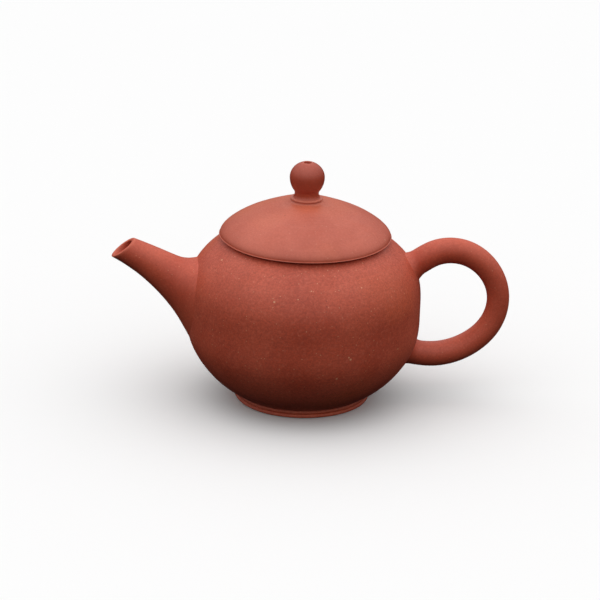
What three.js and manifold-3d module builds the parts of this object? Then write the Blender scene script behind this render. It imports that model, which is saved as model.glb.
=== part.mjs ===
// A small round clay teapot: a beaten belly on a ring foot, a tapered spout, an ear-shaped handle and a
// domed lid with a ball knob. The clay pieces are luted together with slip, and only the lid comes off.
// Millimetres, +Z up. The spout points along -X and the handle along +X.
import * as THREE from "three";
import { mergeVertices } from "three/addons/utils/BufferGeometryUtils.js";
import Module from "manifold-3d";

// ---- Driving dimensions ----

// Belly
const BELLY_RADIUS = 39.7; // outside, at the widest ring
const BELLY_HEIGHT = 31.5; // height of the widest ring
const BELLY_WALL = 2.6;
const LOWER_FULLNESS = 2.15; // superellipse exponents: 2 is an ellipse, more is fuller
const UPPER_FULLNESS = 2.47;

// Foot and base
const FOOT_RADIUS = 22.8; // outside of the foot's two beads
const FOOT_HEIGHT = 2.7;
const FOOT_WIDTH = 4.2; // from the outside of the ring to its hollow
const FOOT_GROOVE = 0.5; // depth of the groove between the beads
const BASE_THICKNESS = 2.6;

// Shoulder and mouth
const SHOULDER_SEAM_DROP = 5.6; // below the seat
const SEAT_HEIGHT = 57.2; // where the lid rests
const SEAT_WIDTH = 3.4; // of the raised ring round the mouth
const SEAT_RING_HEIGHT = 0.9;
const MOUTH_RADIUS = 23;

// Lid
const LID_RADIUS = 29.2;
const LID_CROWN = 12.55; // of the dome, above the lid's underside
const LID_FULLNESS = 1.6; // superellipse exponent of the dome
const LID_WALL = 2.6;
const RIM_WIDTH = 1.5; // of the strip round the lid's edge
const RIM_EDGE = 1.0; // its upright outer face
const FLANGE_DEPTH = 7.6; // how far the flange reaches into the mouth
const FLANGE_WALL = 2.4;

// Knob
const KNOB_PAD_RADIUS = 6; // flat on top of the dome that the knob's collar sits on
const COLLAR_RADIUS = 5.4;
const COLLAR_HEIGHT = 1.1;
const KNOB_FOOT_RADIUS = 4.6;
const KNOB_NECK_RADIUS = 4.05;
const KNOB_NECK_RISE = 0.6; // where the neck is narrowest, as a share of its height
const KNOB_RADIUS = 5.8;
const KNOB_BALL_HEIGHT = 6.8; // of the ball's widest ring, above the knob's foot
const KNOB_HEIGHT = 12.2;
const VENT_RADIUS = 1.25;

// Spout: circles from past the tip to inside the root. `out` is measured past the belly's widest
// radius, and `drop` down from the lid's seat.
const SPOUT_CIRCLES = [
  { out: 31.0, drop: -0.3, radius: 3.85 },
  { out: 23.4, drop: 3.5, radius: 4.1 },
  { out: 12.7, drop: 9.1, radius: 5.3 },
  { out: 3.6, drop: 15.15, radius: 7.35 },
  { out: -5.2, drop: 21.8, radius: 10.75 },
  { out: -13.7, drop: 30.4, radius: 13.9 },
];
const SPOUT_TIP_OUT = 21.5; // middle of the cut mouth
const SPOUT_TIP_DROP = 4.25;
const SPOUT_TIP_TILT = 37.6; // degrees from a level cut
const SPOUT_TIP_WALL = 1.2;
const SPOUT_ROOT_WALL = 3;

// Strainer: a pierced clay ball set into the wall behind the spout
const STRAINER_RADIUS = 6.4;
const STRAINER_WALL = 1.5;
const STRAINER_COLLAR = 2.2; // straight stretch that fills the hole in the wall
const STRAINER_DROP = 24; // its centre, below the lid's seat
const STRAINER_HOLE_RADIUS = 0.8;
const STRAINER_HOLE_ROWS = [
  { holes: 1, angle: 0 },
  { holes: 6, angle: 28 },
  { holes: 10, angle: 55 },
];

// Handle: a bent roll of clay between two roots. `reach` is a share of HANDLE_REACH past the belly's
// widest radius, and `climb` a share of the height from the lower root to the upper.
const HANDLE_REACH = 26.5;
const HANDLE_UPPER_DROP = 10.7; // upper root, below the lid's seat
const HANDLE_LOWER_HEIGHT = 16.2; // lower root, above the table
const HANDLE_UPPER_ANGLE = 32; // degrees above level, leaving the body
const HANDLE_LOWER_ANGLE = -7;
const HANDLE_SHAPE = [
  { reach: 0.185, climb: 1.16 },
  { reach: 0.543, climb: 1.161 },
  { reach: 0.849, climb: 0.977 },
  { reach: 1.0, climb: 0.664 },
  { reach: 0.909, climb: 0.313 },
  { reach: 0.589, climb: 0.053 },
  { reach: 0.19, climb: -0.042 },
];
const HANDLE_RADII = [4.4, 4.35, 3.85, 4.15, 4.2]; // evenly from the upper root to the lower
const ROOT_DEPTH = 6; // how far the roll is drawn on past the surface before it is cut

// Clearances
const SLIP_JOINT = 0.3; // slip between two luted pieces
const LID_PLAY = 0.35; // between the flange and the mouth, all round
const SEAT_PLAY = 0.1; // under the seated lid

// Resolution
const ROUND_SIDES = 48;
const SMALL_SIDES = 24;
const HOLE_SIDES = 6;
const BASE_STEPS = 3;
const BELLY_STEPS = 12;
const SHOULDER_STEPS = 4;
const DOME_STEPS = 7;
const KNOB_STEPS = 8;
const STRAINER_STEPS = 5;
const HANDLE_STEPS = 30;
const HANDLE_SIDES = 14;
const SPOUT_STEPS = 12;

// ---- Worked out from them ----

const BASE_BOTTOM = FOOT_HEIGHT + SLIP_JOINT;
const BASE_TOP = BASE_BOTTOM + BASE_THICKNESS;
const SHOULDER_SEAM = SEAT_HEIGHT - SHOULDER_SEAM_DROP;
const SHOULDER_TOP = SEAT_HEIGHT - SEAT_RING_HEIGHT - SLIP_JOINT;
const SEAT_RADIUS = MOUTH_RADIUS + SEAT_WIDTH;
const LID_UNDERSIDE = SEAT_HEIGHT + SEAT_PLAY;
const LID_DISC_RADIUS = LID_RADIUS - RIM_WIDTH - SLIP_JOINT;
const LID_PAD_TOP = domeHeightAt(KNOB_PAD_RADIUS);
const FLANGE_RADIUS = MOUTH_RADIUS - LID_PLAY;
const LID_HOLLOW_RADIUS = FLANGE_RADIUS - FLANGE_WALL;
const COLLAR_BOTTOM = LID_PAD_TOP + SLIP_JOINT;
const KNOB_BOTTOM = COLLAR_BOTTOM + COLLAR_HEIGHT + SLIP_JOINT;
const STRAINER_HEIGHT = SEAT_HEIGHT - STRAINER_DROP;

// Depth of a superellipse quarter that is BELLY_RADIUS wide at its middle and `radius` wide at `rise`.
function quarterDepth(rise, radius, fullness) {
  return rise / (1 - (radius / BELLY_RADIUS) ** fullness) ** (1 / fullness);
}
const LOWER_DEPTH = quarterDepth(BELLY_HEIGHT - BASE_BOTTOM, FOOT_RADIUS, LOWER_FULLNESS);
const UPPER_DEPTH = quarterDepth(SEAT_HEIGHT - BELLY_HEIGHT, SEAT_RADIUS, UPPER_FULLNESS);

// Radius of the belly at a height, on the surface that lies `inset` below the outside.
function bellyRadiusAt(height, inset = 0) {
  const isAbove = height > BELLY_HEIGHT;
  const fullness = isAbove ? UPPER_FULLNESS : LOWER_FULLNESS;
  const depth = (isAbove ? UPPER_DEPTH : LOWER_DEPTH) - inset;
  const share = Math.abs(height - BELLY_HEIGHT) / depth;
  return (BELLY_RADIUS - inset) * (1 - share ** fullness) ** (1 / fullness);
}

// Height of the lid's dome at a radius.
function domeHeightAt(radius) {
  const share = (1 - (radius / LID_RADIUS) ** LID_FULLNESS) ** (1 / LID_FULLNESS);
  return LID_UNDERSIDE + LID_CROWN * share;
}

// ---- Shapes ----

const ACROSS = new THREE.Vector3(0, 1, 0);

// Points of a curve `place(share)` with the share running from 0 to 1.
function sampled(place, steps) {
  return Array.from({ length: steps + 1 }, (_, step) => place(step / steps));
}

function bellyOutline(from, to, steps, inset = 0) {
  const place = (share) => {
    const height = THREE.MathUtils.lerp(from, to, share);
    return [bellyRadiusAt(height, inset), height];
  };
  return sampled(place, steps);
}

// Turns a profile of [radius, height] points round the Z axis. The points run anticlockwise with the
// radius to the right, and a profile that keeps off the axis is closed on itself.
function turned(profile, sides = ROUND_SIDES) {
  const points = profile.map(([radius, height]) => new THREE.Vector2(radius, height));
  if (profile[0][0] > 0) points.push(points[0].clone());
  return new THREE.LatheGeometry(points, sides).rotateX(Math.PI / 2);
}

// A round bar of changing radius along a curve in the XZ plane, closed by a fan at each end.
function roundBar(curve, radiusAt, steps, sides) {
  const centres = sampled((share) => curve.getPoint(share), steps);
  const points = [];
  for (let step = 0; step <= steps; step++) {
    const outward = curve.getTangent(step / steps).cross(ACROSS).normalize();
    for (let side = 0; side < sides; side++) {
      const turn = (2 * Math.PI * side) / sides;
      const offset = outward.clone().multiplyScalar(Math.cos(turn));
      offset.addScaledVector(ACROSS, Math.sin(turn)).multiplyScalar(radiusAt(step / steps));
      points.push(offset.add(centres[step]));
    }
  }
  points.push(centres[0], centres[steps]);
  const first = points.length - 2;
  const index = [];
  for (let side = 0; side < sides; side++) {
    const next = (side + 1) % sides;
    for (let ring = 0; ring < steps * sides; ring += sides) {
      index.push(ring + side, ring + sides + side, ring + sides + next);
      index.push(ring + side, ring + sides + next, ring + next);
    }
    index.push(first, side, next);
    index.push(first + 1, steps * sides + next, steps * sides + side);
  }
  return new THREE.BufferGeometry().setFromPoints(points).setIndex(index);
}

function drill(radius, length, sides) {
  return new THREE.CylinderGeometry(radius, radius, length, sides);
}

// ---- Cutting ----

const wasm = await Module();
wasm.setup();

function toSolid(geometry) {
  const bare = geometry.clone();
  bare.deleteAttribute("normal");
  bare.deleteAttribute("uv");
  const merged = mergeVertices(bare, 1e-3);
  const vertProperties = new Float32Array(merged.attributes.position.array);
  const triVerts = new Uint32Array(merged.index.array);
  return new wasm.Manifold(new wasm.Mesh({ numProp: 3, vertProperties, triVerts }));
}

function toGeometry(solid) {
  const mesh = solid.getMesh();
  const geometry = new THREE.BufferGeometry();
  geometry.setAttribute("position", new THREE.BufferAttribute(mesh.vertProperties, 3));
  geometry.setIndex(new THREE.BufferAttribute(mesh.triVerts, 1));
  geometry.computeVertexNormals();
  return geometry;
}

// The belly as a full solid, grown by the slip joint: it cuts whatever is luted to the outside.
function grownBelly() {
  const outline = bellyOutline(BASE_BOTTOM, SEAT_HEIGHT, BELLY_STEPS + SHOULDER_STEPS);
  const grown = outline.map(([radius, height]) => [radius + SLIP_JOINT, height]);
  return toSolid(turned([[0, BASE_BOTTOM], ...grown, [0, SEAT_HEIGHT]]));
}

// ---- The pot ----

function footRing() {
  const hollow = FOOT_RADIUS - FOOT_WIDTH;
  const waist = FOOT_RADIUS - FOOT_GROOVE;
  const halfBead = FOOT_HEIGHT / 4;
  return turned([
    [hollow, 0],
    [FOOT_RADIUS - halfBead, 0],
    [FOOT_RADIUS, halfBead],
    [waist, 2 * halfBead],
    [FOOT_RADIUS, 3 * halfBead],
    [waist, FOOT_HEIGHT],
    [hollow, FOOT_HEIGHT],
  ]);
}

function baseDisc() {
  return turned([[0, BASE_BOTTOM], ...bellyOutline(BASE_BOTTOM, BASE_TOP, BASE_STEPS), [0, BASE_TOP]]);
}

// The wall between the base and the shoulder, pierced for the strainer.
function bellyWall() {
  const bottom = BASE_TOP + SLIP_JOINT;
  const outside = bellyOutline(bottom, SHOULDER_SEAM, BELLY_STEPS);
  const inside = bellyOutline(bottom, SHOULDER_SEAM, BELLY_STEPS, BELLY_WALL);
  const wall = toSolid(turned([...outside, ...inside.reverse()]));
  const hole = drill(STRAINER_RADIUS + SLIP_JOINT, BELLY_RADIUS, SMALL_SIDES);
  hole.rotateZ(Math.PI / 2).translate(-BELLY_RADIUS, 0, STRAINER_HEIGHT);
  return toGeometry(wall.subtract(toSolid(hole)));
}

// The disc that closes the belly's top, with the mouth cut in it.
function shoulderDisc() {
  const bottom = SHOULDER_SEAM + SLIP_JOINT;
  const ceiling = SHOULDER_TOP - BELLY_WALL;
  const outside = bellyOutline(bottom, SHOULDER_TOP, SHOULDER_STEPS);
  const inside = bellyOutline(bottom, ceiling, SHOULDER_STEPS, BELLY_WALL);
  const mouth = [
    [MOUTH_RADIUS, SHOULDER_TOP],
    [MOUTH_RADIUS, ceiling],
  ];
  return turned([...outside, ...mouth, ...inside.reverse()]);
}

function mouthRing() {
  const edge = SEAT_RING_HEIGHT / 3;
  return turned([
    [MOUTH_RADIUS, SHOULDER_TOP + SLIP_JOINT],
    [SEAT_RADIUS, SHOULDER_TOP + SLIP_JOINT],
    [SEAT_RADIUS, SEAT_HEIGHT - edge],
    [SEAT_RADIUS - edge, SEAT_HEIGHT],
    [MOUTH_RADIUS, SEAT_HEIGHT],
  ]);
}

function spout() {
  const centres = SPOUT_CIRCLES.map(
    ({ out, drop }) => new THREE.Vector3(-BELLY_RADIUS - out, 0, SEAT_HEIGHT - drop),
  );
  const curve = new THREE.CatmullRomCurve3(centres, false, "centripetal");
  const radii = new THREE.SplineCurve(
    SPOUT_CIRCLES.map(({ radius }, order) => new THREE.Vector2(order, radius)),
  );
  const outside = (share) => radii.getPoint(share).y;
  const bore = (share) =>
    outside(share) - THREE.MathUtils.lerp(SPOUT_TIP_WALL, SPOUT_ROOT_WALL, share);
  const tube = toSolid(roundBar(curve, outside, SPOUT_STEPS, SMALL_SIDES)).subtract(
    toSolid(roundBar(curve, bore, SPOUT_STEPS, SMALL_SIDES)),
  );
  const cutSize = 2 * BELLY_RADIUS;
  const tipCut = new THREE.BoxGeometry(cutSize, cutSize, cutSize);
  tipCut
    .translate(0, 0, cutSize / 2)
    .rotateY(THREE.MathUtils.degToRad(-SPOUT_TIP_TILT))
    .translate(-BELLY_RADIUS - SPOUT_TIP_OUT, 0, SEAT_HEIGHT - SPOUT_TIP_DROP);
  return toGeometry(tube.subtract(toSolid(tipCut)).subtract(grownBelly()));
}

// How far from the pot's axis the strainer's collar starts, so that none of it stands out of the wall.
function strainerReach() {
  const below = bellyRadiusAt(STRAINER_HEIGHT - STRAINER_RADIUS);
  const above = bellyRadiusAt(STRAINER_HEIGHT + STRAINER_RADIUS);
  return Math.min(below, above);
}

// Turned upright about its own axis, pierced, then laid along +X so that the ball faces inwards.
function strainer() {
  const inner = STRAINER_RADIUS - STRAINER_WALL;
  const arc = (radius) =>
    sampled((share) => {
      const turn = (share * Math.PI) / 2;
      return [radius * Math.cos(turn), STRAINER_COLLAR + radius * Math.sin(turn)];
    }, STRAINER_STEPS).slice(0, -1);
  const shell = [
    [0, STRAINER_COLLAR + inner],
    ...arc(inner).reverse(),
    [inner, 0],
    [STRAINER_RADIUS, 0],
    ...arc(STRAINER_RADIUS),
    [0, STRAINER_COLLAR + STRAINER_RADIUS],
  ];
  let solid = toSolid(turned(shell, SMALL_SIDES));
  for (const { holes, angle } of STRAINER_HOLE_ROWS) {
    for (let hole = 0; hole < holes; hole++) {
      const bit = drill(STRAINER_HOLE_RADIUS, 2 * STRAINER_WALL, HOLE_SIDES);
      bit
        .rotateX(Math.PI / 2)
        .translate(0, 0, STRAINER_RADIUS - STRAINER_WALL / 2)
        .rotateY(THREE.MathUtils.degToRad(angle))
        .rotateZ((2 * Math.PI * hole) / holes)
        .translate(0, 0, STRAINER_COLLAR);
      solid = solid.subtract(toSolid(bit));
    }
  }
  return toGeometry(solid).rotateY(Math.PI / 2);
}

function handle() {
  const upperHeight = SEAT_HEIGHT - HANDLE_UPPER_DROP;
  const root = (height, degrees) => {
    const angle = THREE.MathUtils.degToRad(degrees);
    const x = bellyRadiusAt(height) - ROOT_DEPTH * Math.cos(angle);
    return new THREE.Vector3(x, 0, height - ROOT_DEPTH * Math.sin(angle));
  };
  const shape = HANDLE_SHAPE.map(({ reach, climb }) => {
    const height = THREE.MathUtils.lerp(HANDLE_LOWER_HEIGHT, upperHeight, climb);
    return new THREE.Vector3(BELLY_RADIUS + reach * HANDLE_REACH, 0, height);
  });
  const curve = new THREE.CatmullRomCurve3(
    [root(upperHeight, HANDLE_UPPER_ANGLE), ...shape, root(HANDLE_LOWER_HEIGHT, HANDLE_LOWER_ANGLE)],
    false,
    "centripetal",
  );
  const radii = new THREE.SplineCurve(
    HANDLE_RADII.map((radius, order) => new THREE.Vector2(order, radius)),
  );
  const bar = roundBar(curve, (share) => radii.getPoint(share).y, HANDLE_STEPS, HANDLE_SIDES);
  return toGeometry(toSolid(bar).subtract(grownBelly()));
}

// ---- The lid ----

function lidDisc() {
  const crown = LID_CROWN - LID_WALL;
  const dome = sampled((share) => {
    const radius = THREE.MathUtils.lerp(LID_DISC_RADIUS, KNOB_PAD_RADIUS, share);
    return [radius, domeHeightAt(radius)];
  }, DOME_STEPS);
  const hollow = sampled((share) => {
    const turn = (share * Math.PI) / 2;
    const radius = THREE.MathUtils.lerp(VENT_RADIUS, LID_HOLLOW_RADIUS, Math.sin(turn));
    return [radius, LID_UNDERSIDE + crown * Math.cos(turn)];
  }, DOME_STEPS);
  return turned([[LID_DISC_RADIUS, LID_UNDERSIDE], ...dome, [VENT_RADIUS, LID_PAD_TOP], ...hollow]);
}

// The strip luted round the lid's edge: its top carries on the line of the dome.
function lidRim() {
  const inside = LID_RADIUS - RIM_WIDTH;
  return turned([
    [inside, LID_UNDERSIDE],
    [LID_RADIUS - RIM_EDGE / 3, LID_UNDERSIDE],
    [LID_RADIUS, LID_UNDERSIDE + RIM_EDGE / 3],
    [LID_RADIUS, LID_UNDERSIDE + RIM_EDGE],
    [inside + RIM_WIDTH / 2, domeHeightAt(inside + RIM_WIDTH / 2)],
    [inside, domeHeightAt(inside)],
  ]);
}

function lidFlange() {
  const chamfer = FLANGE_WALL / 4;
  const bottom = SEAT_HEIGHT - FLANGE_DEPTH;
  return turned([
    [LID_HOLLOW_RADIUS, bottom],
    [FLANGE_RADIUS - chamfer, bottom],
    [FLANGE_RADIUS, bottom + chamfer],
    [FLANGE_RADIUS, LID_UNDERSIDE - SLIP_JOINT],
    [LID_HOLLOW_RADIUS, LID_UNDERSIDE - SLIP_JOINT],
  ]);
}

function knobCollar() {
  const edge = COLLAR_HEIGHT / 3;
  return turned(
    [
      [VENT_RADIUS, COLLAR_BOTTOM],
      [COLLAR_RADIUS - edge, COLLAR_BOTTOM],
      [COLLAR_RADIUS, COLLAR_BOTTOM + edge],
      [COLLAR_RADIUS, COLLAR_BOTTOM + 2 * edge],
      [COLLAR_RADIUS - edge, COLLAR_BOTTOM + COLLAR_HEIGHT],
      [VENT_RADIUS, COLLAR_BOTTOM + COLLAR_HEIGHT],
    ],
    SMALL_SIDES,
  );
}

// A ball on a waisted neck. The ball is an ellipse above its widest ring and a longer one below it.
function knob() {
  const upper = KNOB_HEIGHT - KNOB_BALL_HEIGHT;
  const lower = KNOB_BALL_HEIGHT;
  const from = -Math.acos(KNOB_NECK_RADIUS / KNOB_RADIUS);
  const to = Math.acos(VENT_RADIUS / KNOB_RADIUS);
  const ball = sampled((share) => {
    const turn = THREE.MathUtils.lerp(from, to, share);
    const rise = (turn > 0 ? upper : lower) * Math.sin(turn);
    return [KNOB_RADIUS * Math.cos(turn), KNOB_BOTTOM + KNOB_BALL_HEIGHT + rise];
  }, KNOB_STEPS);
  const neckTop = ball[0][1];
  return turned(
    [
      [VENT_RADIUS, KNOB_BOTTOM],
      [KNOB_FOOT_RADIUS, KNOB_BOTTOM],
      [KNOB_NECK_RADIUS, THREE.MathUtils.lerp(KNOB_BOTTOM, neckTop, KNOB_NECK_RISE)],
      ...ball,
    ],
    SMALL_SIDES,
  );
}

// ---- Assembly ----

function piece(name, geometry, colour, roughness) {
  const clay = new THREE.MeshStandardMaterial({ color: colour, roughness, metalness: 0 });
  const mesh = new THREE.Mesh(geometry, clay);
  mesh.name = name;
  return mesh;
}

const OUTSIDE_CLAY = 0xa34a38; // burnished
const LID_CLAY = 0xb5604c;
const INSIDE_CLAY = 0x8f4030; // left rough from the ribs

const pot = new THREE.Group();
const strainerPiece = piece("strainer", strainer(), INSIDE_CLAY, 0.8);
strainerPiece.position.set(-strainerReach(), 0, STRAINER_HEIGHT);
pot.add(
  piece("foot_ring", footRing(), OUTSIDE_CLAY, 0.6),
  piece("base_disc", baseDisc(), OUTSIDE_CLAY, 0.6),
  piece("belly_wall", bellyWall(), OUTSIDE_CLAY, 0.45),
  piece("shoulder_disc", shoulderDisc(), OUTSIDE_CLAY, 0.45),
  piece("mouth_ring", mouthRing(), OUTSIDE_CLAY, 0.55),
  piece("spout", spout(), OUTSIDE_CLAY, 0.45),
  strainerPiece,
  piece("handle", handle(), OUTSIDE_CLAY, 0.45),
);

const lid = new THREE.Group();
lid.add(
  piece("lid_disc", lidDisc(), LID_CLAY, 0.45),
  piece("lid_rim", lidRim(), LID_CLAY, 0.45),
  piece("lid_flange", lidFlange(), INSIDE_CLAY, 0.7),
  piece("knob_collar", knobCollar(), LID_CLAY, 0.5),
  piece("knob", knob(), LID_CLAY, 0.45),
);

// The part's origin is the middle of its box, on the table, so the pot's own axis lies a little
// towards the spout.
const teapot = new THREE.Group();
teapot.add(pot, lid);
const box = new THREE.Box3().setFromObject(teapot);
teapot.position.x = -(box.min.x + box.max.x) / 2;

export default teapot;
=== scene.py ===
# %% [markdown]
# # A small teapot of unglazed red clay
# The pot is about as wide as a hand. A round belly stands on a low foot, a spout and a loop handle are
# luted to its sides with slip, and a domed lid with a ball knob drops into the mouth. The clay is fired
# bare, so every form and every finish in this lesson is clay: pressed, turned, pierced or burnished.
# The working model of the pot comes first. It fixes every size and says what moves, and all that
# follows is fitted to it.

import bmesh
import bpy
import numpy as np
from mathutils import Matrix, Vector


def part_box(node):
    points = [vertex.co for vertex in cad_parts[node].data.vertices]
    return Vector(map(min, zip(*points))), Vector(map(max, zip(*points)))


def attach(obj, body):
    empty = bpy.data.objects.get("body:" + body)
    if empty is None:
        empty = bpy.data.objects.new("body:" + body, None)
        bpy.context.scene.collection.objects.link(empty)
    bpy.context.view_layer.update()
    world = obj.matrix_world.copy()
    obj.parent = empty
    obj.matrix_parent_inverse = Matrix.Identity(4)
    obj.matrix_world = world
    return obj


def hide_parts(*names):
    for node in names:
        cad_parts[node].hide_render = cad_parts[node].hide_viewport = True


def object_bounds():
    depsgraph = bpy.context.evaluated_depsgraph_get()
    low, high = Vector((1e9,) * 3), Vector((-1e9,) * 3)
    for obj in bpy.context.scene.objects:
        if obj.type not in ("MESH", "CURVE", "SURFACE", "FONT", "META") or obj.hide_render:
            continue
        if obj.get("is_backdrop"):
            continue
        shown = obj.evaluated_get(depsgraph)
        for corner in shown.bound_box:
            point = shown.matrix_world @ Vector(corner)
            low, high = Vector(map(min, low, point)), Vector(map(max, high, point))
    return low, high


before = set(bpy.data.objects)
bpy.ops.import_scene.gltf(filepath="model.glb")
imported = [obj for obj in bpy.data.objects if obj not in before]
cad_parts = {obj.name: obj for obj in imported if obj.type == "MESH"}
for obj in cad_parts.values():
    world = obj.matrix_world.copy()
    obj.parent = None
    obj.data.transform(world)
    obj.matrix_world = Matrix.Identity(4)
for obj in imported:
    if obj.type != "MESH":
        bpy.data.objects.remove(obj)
model_low, model_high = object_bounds()
print("pieces in the working model:", ", ".join(sorted(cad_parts)))

# %% [markdown]
# ## Measuring from the pot's own axis
# The belly, the foot and the lid are all round about one upright axis, so a maker measures from it.
# Lengths below are in millimetres from that axis and from the table. They turn into Blender's metres
# only where a mesh is made.

# %% Measures from the axis
MM = 0.001
foot_low, foot_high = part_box("foot_ring")
AXIS = np.array([(foot_low.x + foot_high.x) / 2 / MM, 0.0, 0.0])


def span(node):
    """Lowest and highest corner of a piece of the working model, in mm from the pot's axis."""
    low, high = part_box(node)
    return np.array(low) / MM - AXIS, np.array(high) / MM - AXIS


BELLY_RADIUS = span("belly_wall")[1][1]
BASE_BOTTOM, BASE_TOP = (corner[2] for corner in span("base_disc"))
SHOULDER_TOP = span("shoulder_disc")[1][2]
SEAT = span("mouth_ring")[1][2]
SEAT_RADIUS = span("mouth_ring")[1][1]
print(f"axis at x = {AXIS[0]:.2f} mm, belly radius {BELLY_RADIUS:.2f} mm, lid's seat at {SEAT:.1f} mm")

# %% [markdown]
# ## Smooth lines and rounded corners
# Clay has few straight lines. An outline is best given by a handful of knots with a smooth line drawn
# through them, as a maker draws a profile on a template. A cubic spline does that: it passes through
# every knot with no kink. Where a piece has a corner, a wet finger rounds it, so a second helper
# replaces each corner with a short curve.


# %% Smooth line through knots
def smooth_line(knots, count):
    """Evenly spaced points on the natural cubic spline through the knots. Columns past the second,
    such as a radius, run along with the place."""
    knots = np.asarray(knots, float)
    gaps = np.linalg.norm(np.diff(knots[:, :2], axis=0), axis=1)
    marks = np.concatenate([[0], np.cumsum(gaps)])
    system = np.eye(len(knots))
    pull = np.zeros_like(knots)
    slopes = np.diff(knots, axis=0) / gaps[:, None]
    for k in range(1, len(knots) - 1):
        system[k, k - 1 : k + 2] = gaps[k - 1], 2 * (gaps[k - 1] + gaps[k]), gaps[k]
        pull[k] = 6 * (slopes[k] - slopes[k - 1])
    bend = np.linalg.solve(system, pull)
    fine = np.linspace(0, marks[-1], 20 * count)
    k = np.clip(np.searchsorted(marks, fine) - 1, 0, len(gaps) - 1)
    gap, a, b = gaps[k, None], (marks[k + 1] - fine)[:, None], (fine - marks[k])[:, None]
    line = (bend[k] * a**3 + bend[k + 1] * b**3) / (6 * gap)
    line += (knots[k] / gap - bend[k] * gap / 6) * a + (knots[k + 1] / gap - bend[k + 1] * gap / 6) * b
    run = np.concatenate([[0], np.cumsum(np.linalg.norm(np.diff(line[:, :2], axis=0), axis=1))])
    even = np.linspace(0, run[-1], count)
    return np.stack([np.interp(even, run, column) for column in line.T], axis=1)


print("half way along a test arc:", smooth_line([(0, 0), (1, 0.5), (2, 0)], 3)[1])


# %% Rounded corners
def soften(corners, steps=5):
    """A closed outline with rounded corners. Each corner is (radius, height, softness)."""
    outline = []
    for k, (radius, height, soft) in enumerate(corners):
        corner = np.array([radius, height])
        if not soft:
            outline.append(corner)
            continue
        ends = []
        for other in (corners[k - 1], corners[(k + 1) % len(corners)]):
            way = np.array(other[:2]) - corner
            ends.append(corner + soft * way / np.linalg.norm(way))
        for t in np.linspace(0, 1, steps + 1):
            outline.append((1 - t) ** 2 * ends[0] + 2 * t * (1 - t) * corner + t**2 * ends[1])
    return np.array(outline)


soft_square = soften([(1, 0, 0.2), (2, 0, 0.2), (2, 1, 0.2), (1, 1, 0.2)])
print("a square with soft corners has", len(soft_square), "points")

# %% [markdown]
# ## From outline to mesh
# Round pieces are thrown or turned, so their mesh is an outline swept round the axis in rings. The
# spout and the handle are drawn from a roll of clay, and they are rings too, strung on a curved line.
# One helper therefore skins any stack of rings with four-sided faces. Blender's Screw modifier could
# turn an outline as well, but it couldn't flare a ring where a root meets the belly.
# A hand never makes a perfect round. Five slow waves press the surface in and out by a fifth of a
# millimetre or so at most, which is enough to make a highlight wander.

# %% A hand's small errors
HAND_PRESS = 0.045  # usual push of one wave, in mm
hand = np.random.default_rng(7)
hand_waves = hand.normal(size=(3, 5)) / 6
hand_phases = hand.uniform(0, 2 * np.pi, 5)
hand_pushes = hand.normal(size=(5, 3)) * (1, 1, 0)


def by_hand(points):
    """Points in mm from the axis, pressed in and out a little, sideways only."""
    return points + HAND_PRESS * np.sin(points @ hand_waves + hand_phases) @ hand_pushes


test_turn = np.arange(0, 6.28, 0.05)
test_ring = np.stack([40 * np.cos(test_turn), 40 * np.sin(test_turn), 30 + 0 * test_turn], 1)
print(f"most that the hand moves a ring: {np.abs(by_hand(test_ring) - test_ring).max():.3f} mm")


# %% [markdown]
# ### Finding the corners that wear
# Fingers rub a corner paler than the clay round it. The shader's own Pointiness finds corners too, but on
# a mesh as fine as this one it left a row of pale dots round the lid. So how sharply the surface turns
# outwards is measured here, once, and kept on the mesh's points.

# %% Wear on corners
WEAR_FROM, WEAR_TO = 0.6, 2.4  # how sharply the surface turns, in radians to a millimetre


def mark_wear(mesh):
    """Stores how much each point stands on a corner, from 0 to 1, as the attribute edge_wear."""
    place = np.empty(3 * len(mesh.vertices))
    facing = np.empty(3 * len(mesh.vertices))
    ends = np.empty(2 * len(mesh.edges), int)
    mesh.vertices.foreach_get("co", place)
    mesh.vertex_normals.foreach_get("vector", facing)
    mesh.edges.foreach_get("vertices", ends)
    first, second = ends.reshape(-1, 2).T
    step = (place.reshape(-1, 3)[second] - place.reshape(-1, 3)[first]) / MM
    opening = facing.reshape(-1, 3)[second] - facing.reshape(-1, 3)[first]
    bend = (opening * step).sum(axis=1) / np.maximum((step**2).sum(axis=1), 1e-6)
    sharpest = np.zeros(len(mesh.vertices))
    np.maximum.at(sharpest, first, bend)
    np.maximum.at(sharpest, second, bend)
    wear = np.clip((sharpest - WEAR_FROM) / (WEAR_TO - WEAR_FROM), 0, 1)
    mesh.attributes.new("edge_wear", "FLOAT", "POINT").data.foreach_set("value", wear)


print("corners rounder than", round(1 / WEAR_FROM, 1), "mm don't wear")


# %% Skin over rings
SAME_POINT = 1e-7  # m
SHARP_ANGLE = np.radians(38)  # a sharper turn than this is shaded as an edge


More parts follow.
